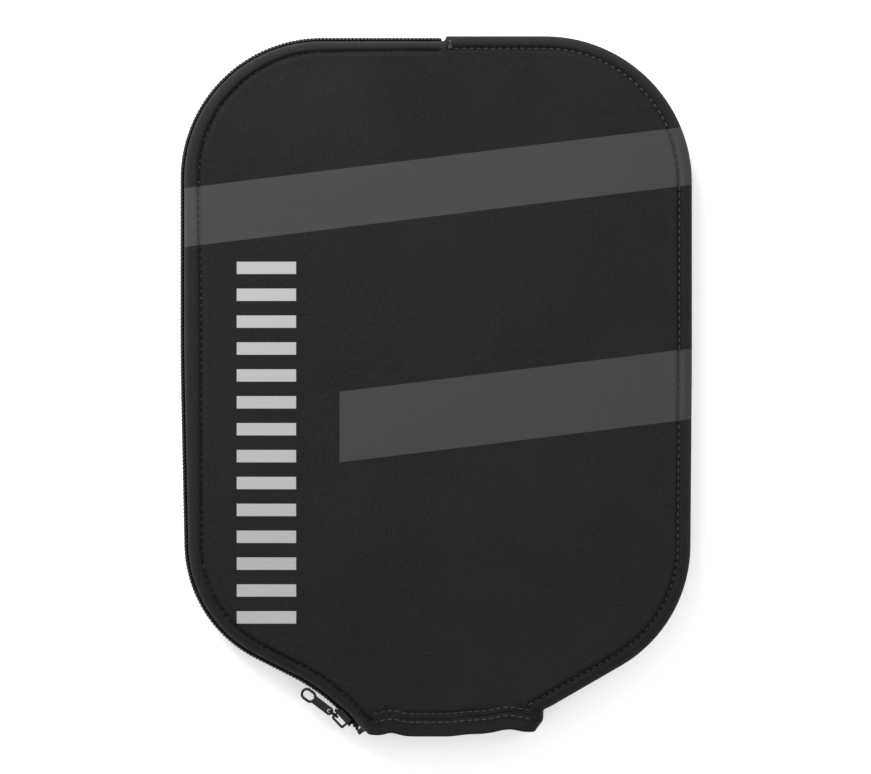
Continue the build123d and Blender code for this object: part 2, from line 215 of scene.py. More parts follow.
rim = Route(
    [
        (MOUTH_LEFT, MOUTH_Y),
        zip_bend,
        zip_foot,
        (-HALF_WIDTH, TAPER_FROM_Y),
        (-HALF_WIDTH, TOP_Y),
        (HALF_WIDTH, TOP_Y),
        (HALF_WIDTH, TAPER_FROM_Y),
        seam_foot,
        NOTCH,
        TONGUE,
        (MOUTH_RIGHT, MOUTH_Y),
    ],
    [
        BEND_RADIUS,
        ZIP_CORNER_RADIUS,
        TAPER_RADIUS,
        *TOP_RADII,
        TAPER_RADIUS,
        SEAM_CORNER_RADIUS,
        NOTCH_RADIUS,
        TONGUE_RADIUS,
    ],
)
RUN_TOP = rim.where(SEAM_START, TOP_Y)
RUN_ZIP_START = rim.where(ZIP_START, TOP_Y)
RUN_NOTCH = rim.where(*NOTCH)


def seam_side(run):
    """0 along the zip and 1 along the sewn side, with the small step at the top centre."""
    return smooth(RUN_TOP - 0.7, RUN_TOP + 0.7, run)


def hem_wave(x):
    """How far the hemmed edge rises above the mouth's lowest point, across the mouth."""
    left = 1.5 * bell(x, -19, 4.5) + 1.8 * (1 - smooth(-35, -30, x))
    right = 1.0 * smooth(4, 16, x) + 2.0 * bell(x, 31.5, 7.5)
    return HEM_LOWEST + left + right


def onto_plane(run, inset):
    """The place on the broad face that lies inset in from the rim at this length of its run.

    Rays follow the rim's normal, and turn to run along the mouth's edge near the mouth."""
    spot, normal = rim.at(run)
    left = run < RUN_TOP
    from_mouth = np.where(left, run, rim.total - run)
    along_edge = 1 - smooth(0, MOUTH_TURN, from_mouth)
    level = np.stack([np.where(left, 1.0, -1.0), np.zeros_like(from_mouth)], -1)
    ray = -normal * (1 - along_edge[..., None]) + level * along_edge[..., None]
    ray /= np.linalg.norm(ray, axis=-1, keepdims=True)
    reach = inset / np.maximum((ray * -normal).sum(-1), 0.25)
    return spot + ray * reach[..., None]


def zip_stitch(run):
    """How far in from the panel's edge the zip's line of stitches runs, which wanders a little."""
    spots = [rim.where(*spot) for spot in ((-75, -118), (-108, -70), (-110, 20), (-92, 132), (-30, TOP_Y))]
    return np.interp(run, [0] + spots + [RUN_TOP], [5.3, 4.9, 6.0, 7.5, 5.9, 4.4, 4.2])


def nearest_of(line, points):
    """The number of the nearest of the line's points to each point."""
    found = np.empty(len(points), int)
    for start in range(0, len(points), 512):
        some = points[start : start + 512]
        found[start : start + 512] = np.argmin(((some[:, None] - line[None]) ** 2).sum(-1), axis=1)
    return found


def distance_to(line, points):
    """How far each point is from the nearest of the line's points."""
    return np.linalg.norm(points - line[nearest_of(line, points)], axis=1)


def beside_line(line, place):
    """Each place's distance from a line and the length along the line that it lies beside."""
    flat = place.reshape(-1, 2)
    nearest = nearest_of(line, flat)
    off = np.linalg.norm(flat - line[nearest], axis=1)
    return off.reshape(place.shape[:-1]), (nearest * LINE_STEP).reshape(place.shape[:-1])


def evenly(points):
    """A line's points again, LINE_STEP apart."""
    lengths = np.concatenate([[0], np.cumsum(np.linalg.norm(np.diff(points, axis=0), axis=1))])
    run = np.arange(0, lengths[-1], LINE_STEP)
    return np.stack([np.interp(run, lengths, points[:, axis]) for axis in (0, 1)], 1)


LINE_STEP = 0.4
zip_runs = np.arange(7.0, RUN_TOP - 2, LINE_STEP)
zip_stitch_line = evenly(onto_plane(zip_runs, COIL_DEPTH + zip_stitch(zip_runs)))
seam_runs = np.arange(RUN_TOP + 1.5, RUN_NOTCH - 9, LINE_STEP)
seam_stitch_line = onto_plane(seam_runs, np.full_like(seam_runs, SEAM_STITCH))
seam_heading = seam_stitch_line[-1] - seam_stitch_line[-12]
seam_drop = (MOUTH_Y + 3.4 + HEM_ROWS[-1] - seam_stitch_line[-1][1]) / seam_heading[1]
seam_foot_stitch = seam_stitch_line[-1] + seam_heading * seam_drop
seam_stitch_line = evenly(np.concatenate([seam_stitch_line, [seam_foot_stitch]]))
HEM_LEFT = zip_stitch_line[0][0] + 0.5
HEM_RIGHT = MOUTH_RIGHT + 0.5

# ---------------------------------------------------------------- meshes


def new_mesh(name, vertices, faces, rest=None):
    """A mesh object from millimetre vertices; rest is what its pattern follows, in millimetres."""
    mesh = bpy.data.meshes.new(name)
    mesh.from_pydata((np.asarray(vertices, float) * MM).tolist(), [], [list(map(int, f)) for f in faces])
    mesh.validate()
    pattern = mesh.attributes.new("rest", "FLOAT_VECTOR", "POINT")
    source = np.asarray(vertices if rest is None else rest, np.float32) * MM
    pattern.data.foreach_set("vector", source.astype(np.float32).ravel())
    mesh.polygons.foreach_set("use_smooth", [True] * len(mesh.polygons))
    thing = bpy.data.objects.new(name, mesh)
    bpy.context.scene.collection.objects.link(thing)
    return thing


def grid_faces(rows, columns, closed=False):
    """Faces of a grid of vertices that is stored row by row; closed joins each row's ends."""
    faces = []
    for row in range(rows - 1):
        for column in range(columns if closed else columns - 1):
            a = row * columns + column
            b = row * columns + (column + 1) % columns
            faces.append((a, b, b + columns, a + columns))
    return faces


def vertex_normals(vertices, faces):
    """Area-weighted normals of a sheet of triangles and quads."""
    normals = np.zeros_like(vertices)
    for size in (3, 4):
        group = np.array([f for f in faces if len(f) == size], int)
        if not len(group):
            continue
        a, b = vertices[group[:, 0]], vertices[group[:, 1]]
        c, d = vertices[group[:, 2]], vertices[group[:, -1]]
        face = np.cross(c - a, d - b) if size == 4 else np.cross(b - a, c - a)
        for corner in range(size):
            np.add.at(normals, group[:, corner], face)
    return normals / np.maximum(np.linalg.norm(normals, axis=1, keepdims=True), 1e-12)


def boundary_loop(faces):
    """The vertices of the sheet's one open edge, in order."""
    used = {}
    for face in faces:
        for a, b in zip(face, face[1:] + face[:1]):
            used[(a, b)] = used.get((a, b), 0) + 1
    following = {a: b for (a, b) in used if (b, a) not in used}
    start = next(iter(following))
    loop = [start]
    while following[loop[-1]] != start:
        loop.append(following[loop[-1]])
    return loop


def thicken(sheet, unstitched, faces, thickness, bulge):
    """A closed solid from a sheet: its outside, its inside, and a rounded edge all round.

    The inside lies under the sheet as it is without its stitched creases."""
    faces = [tuple(int(i) for i in face) for face in faces]
    normals = vertex_normals(unstitched, faces)
    inside = unstitched - normals * thickness
    count = len(sheet)
    loop = boundary_loop(faces)
    here = np.array(loop)
    tangent = sheet[np.roll(here, -1)] - sheet[np.roll(here, 1)]
    away = np.cross(tangent, normals[here])
    away /= np.maximum(np.linalg.norm(away, axis=1, keepdims=True), 1e-12)
    middle = (sheet[here] + inside[here]) / 2
    half = (sheet[here] - inside[here]) / 2
    turns = np.radians((35, 65, 90, 115, 145))
    rows = [middle + half * math.cos(a) + away * bulge * math.sin(a) for a in turns]
    vertices = np.concatenate([sheet, inside] + rows)
    solid = list(faces) + [tuple(i + count for i in reversed(face)) for face in faces]
    size = len(loop)
    lines = [here] + [2 * count + size * k + np.arange(size) for k in range(len(rows))] + [here + count]
    for upper, lower in zip(lines, lines[1:]):
        for k in range(size):
            after = (k + 1) % size
            solid.append((int(upper[after]), int(upper[k]), int(lower[k]), int(lower[after])))
    return vertices, solid


def tube(points, radius, sides=6, squash=1.0):
    """Vertices and faces of a closed-ended tube along points."""
    points = np.asarray(points, float)
    along = np.gradient(points, axis=0)
    along /= np.maximum(np.linalg.norm(along, axis=1, keepdims=True), 1e-12)
    side = np.cross(along, [0.0, 0.0, 1.0])
    flat = np.linalg.norm(side, axis=1) < 0.2
    side[flat] = np.cross(along[flat], [0.3, 1.0, 0.0])
    side /= np.linalg.norm(side, axis=1, keepdims=True)
    up = np.cross(side, along)
    radius = np.broadcast_to(radius, (len(points),))
    angles = np.linspace(0, 2 * math.pi, sides, endpoint=False)
    cosines, sines = np.cos(angles)[None, :, None], np.sin(angles)[None, :, None]
    ring = side[:, None] * cosines + up[:, None] * sines * squash
    vertices = (points[:, None] + ring * radius[:, None, None]).reshape(-1, 3)
    faces = grid_faces(len(points), sides, closed=True)
    faces.append(tuple(range(sides))[::-1])
    faces.append(tuple((len(points) - 1) * sides + k for k in range(sides)))
    return vertices, faces


def gather(pieces):
    """One list of vertices and faces from several."""
    vertices, faces, count = [], [], 0
    for some_vertices, some_faces in pieces:
        vertices.append(some_vertices)
        faces += [tuple(i + count for i in face) for face in some_faces]
        count += len(some_vertices)
    return np.concatenate(vertices), faces


# ---------------------------------------------------------------- materials


def shader(name, roughness, **sockets):
    """A new material, its Principled shader and its links, with plain socket values set."""
    material = bpy.data.materials.new(name)
    material.use_nodes = True
    main = material.node_tree.nodes["Principled BSDF"]
    main.inputs["Roughness"].default_value = roughness
    for key, value in sockets.items():
        main.inputs[key.replace("_", " ")].default_value = value
    return material, main, material.node_tree


class Nodes:
    """Short ways to add and join shader nodes."""

    def __init__(self, tree):
        self.tree = tree

    def add(self, kind, **values):
        node = self.tree.nodes.new(kind)
        for key, value in values.items():
            setattr(node, key, value)
        return node

    def join(self, source, target):
        self.tree.links.new(source, target)

    def feed(self, socket, value):
        if isinstance(value, bpy.types.NodeSocket):
            self.join(value, socket)
        else:
            socket.default_value = value

    def maths(self, operation, first, second=0.0, third=0.0):
        node = self.add("ShaderNodeMath", operation=operation)
        for socket, value in zip(node.inputs, (first, second, third)):
            self.feed(socket, value)
        return node.outputs[0]

    def rest(self):
        return self.add("ShaderNodeAttribute", attribute_name="rest").outputs["Vector"]

    def noise(self, vector, scale, detail=3.0, roughness=0.5):
        node = self.add("ShaderNodeTexNoise")
        self.join(vector, node.inputs["Vector"])
        node.inputs["Scale"].default_value = scale
        node.inputs["Detail"].default_value = detail
        node.inputs["Roughness"].default_value = roughness
        return node.outputs["Fac"]

    def between(self, value, low, high, to_low, to_high):
        node = self.add("ShaderNodeMapRange")
        for socket, number in zip(node.inputs, (value, low, high, to_low, to_high)):
            self.feed(socket, number)
        return node.outputs[0]

    def mixed(self, factor, first, second):
        node = self.add("ShaderNodeMix", data_type="RGBA")
        self.feed(node.inputs["Factor"], factor)
        self.feed(node.inputs[6], first)
        self.feed(node.inputs[7], second)
        return node.outputs[2]

    def bump(self, height, distance, strength=1.0, under=None):
        node = self.add("ShaderNodeBump")
        self.join(height, node.inputs["Height"])
        node.inputs["Distance"].default_value = distance
        node.inputs["Strength"].default_value = strength
        if under is not None:
            self.join(under, node.inputs["Normal"])
        return node.outputs[0]


def grey(value):
    """A linear colour from a display grey level between 0 and 255."""
    level = (value / 255) ** 2.2
    return (level, level, level, 1.0)


def knit_height(nodes, place):
    """The fine ribs of a jersey knit: two crossed waves, broken up a little."""
    wobble = nodes.noise(place, 900.0, 2.0)
    courses = nodes.add("ShaderNodeTexWave", wave_type="BANDS", bands_direction="Y", wave_profile="SIN")
    wales = nodes.add("ShaderNodeTexWave", wave_type="BANDS", bands_direction="X", wave_profile="SIN")
    for wave, scale in ((courses, 560.0), (wales, 420.0)):
        nodes.join(place, wave.inputs["Vector"])
        wave.inputs["Scale"].default_value = scale
        wave.inputs["Distortion"].default_value = 1.5
        wave.inputs["Detail"].default_value = 1.0
    crossed = nodes.maths("MULTIPLY", courses.outputs["Fac"], wales.outputs["Fac"])
    return nodes.maths("MULTIPLY_ADD", wobble, 0.5, crossed)


PANEL_GREY = 25
BAND_GREY = 52
BAR_GREY = 142
BAR_CENTRE_M = -0.0723
BAR_HALF_M = 0.0127
BAR_TOP_M = 0.0536
BAR_BOTTOM_M = -0.1053
BAR_PITCH_M = 0.0115
BAR_SHARE = 0.46
# Each plain band: the direction across it in degrees, then in metres its distance from the
# middle, half its width, and where its left end is cut
BANDS = (
    (97.0, 0.0850, 0.0125, -0.2),
    (97.0, -0.0120, 0.0150, -0.041),
)


def inside_band(nodes, across, along, angle, distance, half, left_end):
    """1 inside a straight band of the panel and 0 outside, with a crisp printed edge."""
    turn = math.radians(angle)
    first = nodes.maths("MULTIPLY", across, math.cos(turn))
    place = nodes.maths("MULTIPLY_ADD", along, math.sin(turn), first)
    off = nodes.maths("ABSOLUTE", nodes.maths("SUBTRACT", place, distance))
    begun = nodes.between(across, left_end - 0.0001, left_end + 0.0001, 0.0, 1.0)
    return nodes.maths("MULTIPLY", begun, nodes.between(off, half - 0.0001, half + 0.0001, 1.0, 0.0))


def neoprene(name, printed):
    """Black knit-faced neoprene; printed adds plain bands and a column of plain bars."""
    material, main, tree = shader(name, 0.85, Sheen_Weight=0.04, Sheen_Roughness=0.6, Specular_IOR_Level=0.06)
    main.inputs["Sheen Tint"].default_value = (0.75, 0.78, 0.85, 1.0)
    nodes = Nodes(tree)
    place = nodes.rest()
    cloudy = nodes.noise(place, 22.0, 3.0)
    speckle = nodes.noise(place, 1500.0, 2.0, 0.7)
    patch = nodes.between(cloudy, 0.3, 0.7, 0.0, 1.0)
    colour = nodes.mixed(patch, grey(PANEL_GREY - 3), grey(PANEL_GREY + 2))
    colour = nodes.mixed(nodes.between(speckle, 0.35, 0.75, 0.0, 0.35), colour, grey(PANEL_GREY + 22))
    # Painted shade in the stitched creases: the colour darkens towards near black there, partly the pressed
    # fabric's own darker colour and partly painted occlusion shade.
    crease_shade = nodes.add("ShaderNodeAttribute", attribute_name="crease").outputs["Fac"]
    colour = nodes.mixed(nodes.maths("MULTIPLY", crease_shade, 0.7), colour, grey(8))
    if printed:
        split = nodes.add("ShaderNodeSeparateXYZ")
        nodes.join(place, split.inputs[0])
        across, along = split.outputs[0], split.outputs[1]
        ink = grey(BAND_GREY)
        ink_speckle = nodes.mixed(nodes.between(speckle, 0.3, 0.8, 0.0, 0.3), ink, grey(BAND_GREY + 16))
        outside = nodes.add("ShaderNodeAttribute", attribute_name="outside").outputs["Fac"]
        outside = nodes.between(outside, 0.6, 0.7, 0.0, 1.0)
        for band in BANDS:
            mask = nodes.maths("MULTIPLY", outside, inside_band(nodes, across, along, *band))
            colour = nodes.mixed(mask, colour, ink_speckle)
        from_centre = nodes.maths("ABSOLUTE", nodes.maths("SUBTRACT", across, BAR_CENTRE_M))
        in_column = nodes.between(from_centre, BAR_HALF_M - 0.0001, BAR_HALF_M + 0.0001, 1.0, 0.0)
        below = nodes.between(along, BAR_TOP_M - 0.0001, BAR_TOP_M + 0.0001, 1.0, 0.0)
        above = nodes.between(along, BAR_BOTTOM_M - 0.0001, BAR_BOTTOM_M + 0.0001, 0.0, 1.0)
        step = nodes.maths("DIVIDE", nodes.maths("SUBTRACT", BAR_TOP_M, along), BAR_PITCH_M)
        phase = nodes.maths("FRACT", step)
        bar = nodes.between(phase, BAR_SHARE - 0.01, BAR_SHARE + 0.01, 1.0, 0.0)
        mask = nodes.maths("MULTIPLY", in_column, bar)
        mask = nodes.maths("MULTIPLY", mask, nodes.maths("MULTIPLY", below, above))
        colour = nodes.mixed(nodes.maths("MULTIPLY", outside, mask), colour, grey(BAR_GREY))
    nodes.join(colour, main.inputs["Base Color"])
    soft = nodes.bump(nodes.noise(place, 60.0, 4.0), 0.0006, 0.35)
    nodes.join(nodes.bump(knit_height(nodes, place), 0.00012, 0.6, soft), main.inputs["Normal"])
    return material


def woven(name, level):
    """Woven polyester tape, with the ribs of its weave across its length."""
    material, main, tree = shader(name, 0.75, Sheen_Weight=0.2, Specular_IOR_Level=0.35)
    nodes = Nodes(tree)
    place = nodes.rest()
    ribs = nodes.add("ShaderNodeTexWave", wave_type="BANDS", bands_direction="X", wave_profile="SIN")
    cross = nodes.add("ShaderNodeTexWave", wave_type="BANDS", bands_direction="Y", wave_profile="SIN")
    for wave, scale in ((ribs, 500.0), (cross, 380.0)):
        nodes.join(place, wave.inputs["Vector"])
        wave.inputs["Scale"].default_value = scale
    height = nodes.maths("ADD", ribs.outputs["Fac"], cross.outputs["Fac"])
    colour = nodes.mixed(nodes.between(height, 0.4, 1.6, 0.0, 1.0), grey(level - 6), grey(level + 6))
    nodes.join(colour, main.inputs["Base Color"])
    nodes.join(nodes.bump(height, 0.00012, 0.7), main.inputs["Normal"])
    return material


def thread_material(name, level):
    """Twisted polyester sewing thread."""
    material, main, tree = shader(name, 0.55, Sheen_Weight=0.3, Specular_IOR_Level=0.45)
    nodes = Nodes(tree)
    place = nodes.rest()
    twist = nodes.add("ShaderNodeTexWave", wave_type="BANDS", bands_direction="DIAGONAL", wave_profile="SIN")
    nodes.join(place, twist.inputs["Vector"])
    twist.inputs["Scale"].default_value = 900.0
    strand = nodes.between(twist.outputs["Fac"], 0.2, 0.8, 0.0, 1.0)
    colour = nodes.mixed(strand, grey(level - 5), grey(level + 9))
    nodes.join(colour, main.inputs["Base Color"])
    nodes.join(nodes.bump(twist.outputs["Fac"], 0.0001, 0.6), main.inputs["Normal"])
    return material


def nylon(name, level):
    """Black nylon monofilament, a little scuffed."""
    material, main, tree = shader(name, 0.4, Specular_IOR_Level=0.25)
    nodes = Nodes(tree)
    place = nodes.rest()
    scuff = nodes.noise(place, 700.0, 4.0, 0.6)
    nodes.join(nodes.between(scuff, 0.3, 0.75, 0.22, 0.5), main.inputs["Roughness"])
    colour = nodes.mixed(nodes.between(scuff, 0.45, 0.8, 0.0, 1.0), grey(level), grey(level + 20))
    nodes.join(colour, main.inputs["Base Color"])
    nodes.join(nodes.bump(scuff, 0.00003, 0.3), main.inputs["Normal"])
    return material


def enamel(name, level):
    """Black enamelled die-cast metal, with a slight orange peel and worn high spots."""
    material, main, tree = shader(name, 0.3, Specular_IOR_Level=0.4)
    nodes = Nodes(tree)
    place = nodes.add("ShaderNodeTexCoord").outputs["Object"]
    peel = nodes.noise(place, 1800.0, 3.0)
    wear = nodes.noise(place, 420.0, 6.0, 0.7)
    colour = nodes.mixed(nodes.between(wear, 0.62, 0.72, 0.0, 0.5), grey(level), grey(level + 45))
    nodes.join(colour, main.inputs["Base Color"])
    nodes.join(nodes.between(wear, 0.3, 0.75, 0.2, 0.42), main.inputs["Roughness"])
    nodes.join(nodes.bump(peel, 0.00004, 0.35), main.inputs["Normal"])
    return material


front_cloth = neoprene("printed_neoprene", True)
back_cloth = neoprene("plain_neoprene", False)
tape_cloth = woven("zip_tape_weave", 16)
sewing = thread_material("sewing_thread", 9)
coil_nylon = nylon("coil_nylon", 8)
slider_enamel = enamel("slider_enamel", 5)


def finish_piece(thing, body, slot, material, *nodes):
    """Gives a piece its material and body, and hides the CAD nodes that it stands for. The slot argument is
    not used.
    """
    thing.data.materials.clear()
    thing.data.materials.append(material)
    if body:
        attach(thing, body)
    if nodes:
        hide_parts(*nodes)
    return thing


# ---------------------------------------------------------------- neoprene panels

RIM_STEP = 0.8
GRID_STEP = 2.2
HEM_GRID_END = 12.5
GROOVE_DEPTH = 1.2
CREASE_WIDTH = 0.85
EDGE_BULGE = 1.0
SEAM_LIP = 0.95
DOME = 2.0
SHOULDER_HOLLOWS = ((78, -92, 1.1, 34), (-70, -92, 0.8, 30))  # place, share of the dome, width


def rim_profile(run):
    """The panel's section across its rim at each length: distances in from its edge, and heights."""
    sewn = seam_side(run)[:, None]
    lip = (LIP + EDGE_BULGE) * (1 - sewn) + SEAM_LIP * sewn
    rise = np.linspace(0, 1, 7)[None, :]
    wall_height = lip + (MID - ROLL_RADIUS + 0.2 - lip) * rise
    wall_in = 1.1 * np.exp(-(wall_height - SEAM_LIP) / 0.9) * sewn
    roll = [0.06, 0.22, 0.5, 0.9, 1.4, 1.9, 2.4, 2.9]
    groove, beyond = np.arange(3.2, 9.3, 0.25), np.arange(9.9, RING_INSET, 0.6)
    over = np.concatenate([roll, groove, beyond, [RING_INSET]])
    inward = np.concatenate([wall_in, np.broadcast_to(over, (len(run), len(over)))], axis=1)
    height = np.concatenate([wall_height, np.broadcast_to(roll_height(over), (len(run), len(over)))], axis=1)
    return inward, height


def roll_height(inward):
    """How far the rolled rim stands from the middle plane at a distance in from the panel's edge."""
    short = 1 - np.clip(np.asarray(inward, float) / ROLL_RADIUS, 0, 1)
    return MID - ROLL_RADIUS + ROLL_RADIUS * np.sqrt(1 - short**2)


def relief(place, inward, dome):
    """How far the outside stands above or below the flat, with the dome, waves and hem alone."""
    x, y = place[..., 0], place[..., 1]
    rise = dome * (1 - np.exp(-np.maximum(inward - 7, 0) / 26)) * smooth(4, 46, y - MOUTH_Y)
    from_mouth = y - MOUTH_Y - hem_wave(x)
    rise = rise + 0.5 * bell(from_mouth, 2.6, 2.0) * smooth(3, 8, inward)
    for centre_x, centre_y, share, width in SHOULDER_HOLLOWS:
        hollow = bell(np.hypot(x - centre_x, y - centre_y), 0, width)
        rise = rise - dome * share * hollow * smooth(8, 26, inward)
    waves = np.sin(x / 31 + 0.4) * np.sin(y / 43 + 1.1) + 0.6 * np.sin(x / 17 - y / 23) * np.sin(y / 29)
    creases = 0.5 * np.sin((x * 0.8 + y * 0.6) / 9.5) * bell(y, MOUTH_Y + 18, 16)
    return rise + (0.16 * dome * waves + creases * dome * 0.12) * smooth(7, 30, inward)


def sheet_of_panel(dome):
    """The panel's outside as a sheet: points in millimetres, with heights from the case's middle."""
    run = np.linspace(0, rim.total, int(rim.total / RIM_STEP) + 1)
    inward, height = rim_profile(run)
    edge = COIL_DEPTH * (1 - seam_side(run))[:, None]
    rows, columns = inward.shape
    place = np.stack([onto_plane(run, (edge + inward)[:, k]) for k in range(columns)], 1)
    on_roll = np.clip((height - (MID - ROLL_RADIUS)) / ROLL_RADIUS, 0, 1) ** 3
    lift = relief(place, inward, dome) * on_roll
    drawn = stitching_relief(place) * on_roll
    ring = place[:, -1]
    faces = grid_faces(rows, columns)

    # The broad face: the ring, the mouth's edge and a grid of points inside them
    left, right = ring[0], ring[-1]
    count = int((right[0] - left[0]) / 1.2)
    mouth = np.stack([np.linspace(right[0], left[0], count + 2)[1:-1], np.full(count, MOUTH_Y)], 1)
    border = np.concatenate([ring, mouth])
    across = np.arange(-HALF_WIDTH, HALF_WIDTH, GRID_STEP)
    up = np.arange(MOUTH_Y + HEM_GRID_END, TOP_Y, GRID_STEP)
    grid = np.stack(np.meshgrid(across, up), -1).reshape(-1, 2)
    fine_across = np.arange(ring[0, 0], ring[-1, 0] + 12, 1.1)
    fine_up = np.arange(MOUTH_Y + 0.9, MOUTH_Y + HEM_GRID_END - 0.5, 0.5)
    fine = np.stack(np.meshgrid(fine_across, fine_up), -1).reshape(-1, 2)
    grid = np.concatenate([grid, fine])
    inner = grid[inside(border, grid) & (distance_to(border, grid) > 0.8)]
    points = np.concatenate([border, inner])
    loop = list(range(len(border)))
    found = delaunay_2d_cdt([Vector(p) for p in points], [], [loop], 1, 1e-6)
    spots = np.array([tuple(v) for v in found[0]])
    rise = relief(spots, distance_to(ring, spots) + RING_INSET, dome)
    broad = np.stack([spots[:, 0], spots[:, 1], MID + rise], 1)
    drawn_broad = stitching_relief(spots)

    # The ring's own points come from the rim, so both share them
    index = {}
    origins = found[3]
    first = rows * columns
    for k, origin in enumerate(origins):
        ring_index = next((o for o in origin if o < len(ring)), None)
        index[k] = ring_index * columns + columns - 1 if ring_index is not None else first
        first += ring_index is None
    kept = [k for k in range(len(spots)) if index[k] >= rows * columns]
    extra = broad[kept]
    drawn = np.concatenate([drawn.ravel(), drawn_broad[kept]])
    ordered = [tuple(index[i] for i in face) for face in found[2]]
    sheet = np.concatenate([np.concatenate([place, (height + lift)[..., None]], -1).reshape(-1, 3), extra])
    up_facing = [f if facing_up(sheet, f) else tuple(reversed(f)) for f in ordered]
    rim_faces = [tuple(reversed(f)) for f in faces]
    if not facing_up(sheet, rim_faces[columns - 2]):
        rim_faces = faces
    sheet[:, 1] += hem_wave(sheet[:, 0]) * (1 - smooth(0, HEM_REACH, sheet[:, 1] - MOUTH_Y))
    stitched = sheet.copy()
    stitched[:, 2] += drawn
    return stitched, sheet, rim_faces + up_facing


def facing_up(points, face):
    """True if the face's normal points up."""
    a, b, c = (points[i] for i in face[:3])
    return np.cross(b - a, c - a)[2] > 0


def inside(border, points):
    """Which points lie inside a closed line."""
    x, y = points[:, 0], points[:, 1]
    found = np.zeros(len(points), bool)
    for (ax, ay), (bx, by) in zip(border, np.roll(border, -1, axis=0)):
        crosses = (ay > y) != (by > y)
        if ay != by:
            found ^= crosses & (x < (bx - ax) * (y - ay) / (by - ay) + ax)
    return found


def stitching_relief(place):
    """How far the lines of stitches draw the outside down, and it swells beside them."""
    x, y = place[..., 0], place[..., 1]
    rise = np.zeros(x.shape)
    for line in (zip_stitch_line, seam_stitch_line):
        off, along = beside_line(line, place)
        pucker = 1 + 0.2 * np.cos(2 * math.pi * along / STITCH_PITCH)
        rise = rise - GROOVE_DEPTH * pucker * bell(off, 0, CREASE_WIDTH)
        rise = rise + 0.28 * bell(off, 2.4, 1.7)
    from_mouth = y - MOUTH_Y - hem_wave(x)
    tuck = 1 + 0.25 * np.cos(2 * math.pi * x / STITCH_PITCH)
    for row in HEM_ROWS:
        groove = bell(from_mouth, row, 0.8) * smooth(HEM_LEFT - 3, HEM_LEFT, x)
        rise = rise - 0.6 * GROOVE_DEPTH * tuck * groove
    return rise


def crease(place):
    """1 in the stitched creases and 0 away from them; it darkens the neoprene's colour there, partly as the
    pressed fabric's own darker colour and partly as painted shade.
    """
    deep = np.zeros(len(place))
    for line in (zip_stitch_line, seam_stitch_line):
        deep = np.maximum(deep, bell(beside_line(line, place)[0], 0, CREASE_WIDTH))
    in_hem = smooth(HEM_LEFT - 3, HEM_LEFT, place[:, 0])
    from_mouth = place[:, 1] - MOUTH_Y - hem_wave(place[:, 0])
    for row in HEM_ROWS:
        deep = np.maximum(deep, 0.8 * in_hem * bell(from_mouth, row, CREASE_WIDTH))
    return deep


def panel(name, side, dome):
    """One neoprene panel as a closed solid; side is 1 for the front and -1 for the back."""
    sheet, unstitched, faces = sheet_of_panel(dome)
    vertices, solid = thicken(sheet, unstitched, faces, NEOPRENE, EDGE_BULGE)
    deep = np.zeros(len(vertices), np.float32)
    deep[: len(sheet)] = crease(sheet[:, :2]) * (sheet[:, 2] > MID - ROLL_RADIUS)
    vertices = vertices.copy()
    if side > 0:
        vertices[:, 2] = MID + vertices[:, 2]
    else:
        vertices[:, 2] = MID - vertices[:, 2]
        solid = [tuple(reversed(face)) for face in solid]
    vertices[:, 2] = np.maximum(vertices[:, 2], 0.0)
    thing = new_mesh(name, vertices, solid)
    # The crease attribute carries the painted shade in the stitched creases, together with the pressed
    # fabric's darker colour.
    thing.data.attributes.new("crease", "FLOAT", "POINT").data.foreach_set("value", deep)
    outside = (np.arange(len(vertices)) < len(sheet)).astype(np.float32)
    thing.data.attributes.new("outside", "FLOAT", "POINT").data.foreach_set("value", outside)
    surface = BVHTree.FromPolygons(vertices[: len(sheet)].tolist(), [list(f) for f in faces])
    return thing, surface


# The joint where the front panel folds open, in a strip on the zip's side of the fold line, and the bodies on
# its two sides
FOLD = JOINTS["flap_open"]
FRONT_BODY = FOLD["child"]
BACK_BODY = FOLD["parent"]


def bend_at_fold(thing):
    """Bakes the piece's transform into its mesh."""
    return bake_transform(thing)


front_panel, front_surface = panel("front_panel", 1, DOME)
finish_piece(front_panel, None, "neoprene", front_cloth, "front_panel_flap", "front_panel_fixed")
bend_at_fold(front_panel)

back_panel, back_surface = panel("back_panel_cover", -1, 0.0)
finish_piece(back_panel, BACK_BODY, "neoprene", back_cloth, "back_panel")

# ---------------------------------------------------------------- zip


def beside_zip(run, inset, height, side):
    """Points beside the zip's line: inset inwards, and height from the case's middle plane."""
    spot, normal = rim.at(run)
    flat = spot - normal * np.asarray(inset)[..., None]
    return np.concatenate([flat, (MID + side * np.asarray(height))[..., None]], -1)


POST_RUN = 8.4  # where the slider's post parts the chain, along the rim from the mouth
CHAIN_START = 3.6
CHAIN_SPREAD = 1.5
CHAIN_HALF = 1.22  # the middle of each half of the chain stands this far from the case's middle


def chain_opening(run):
    """How far each half of the chain stands off the middle, between the slider and the mouth."""
    return CHAIN_SPREAD * (1 - smooth(POST_RUN - 3.5, POST_RUN + 1.5, run))


def coil(side):
    """One half of the chain: a flattened helix of filament along the tape's edge."""
    loops = int((RUN_ZIP_START + 0.9 - CHAIN_START) / COIL_PITCH)
    turn = np.linspace(0, loops * 2 * math.pi, loops * 16 + 1)
    phase = 0 if side > 0 else math.pi
    run = CHAIN_START + (turn + phase) / (2 * math.pi) * COIL_PITCH
    across, out = np.cos(turn), np.sin(turn)
    reach = np.sign(across) * np.abs(across) ** 0.8
    height = CHAIN_HALF + 1.36 * reach + chain_opening(run)
    inset = COIL_DEPTH / 2 + 0.15 - 0.86 * np.sign(out) * np.abs(out) ** 0.7
    core_run = np.linspace(CHAIN_START + 0.2, RUN_ZIP_START + 0.6, 700)
    core_height = CHAIN_HALF + chain_opening(core_run)
    core = beside_zip(core_run, np.full_like(core_run, COIL_DEPTH / 2), core_height, side)
    return gather([tube(beside_zip(run, inset, height, side), FILAMENT, 6), tube(core, CORE_RADIUS, 6)])


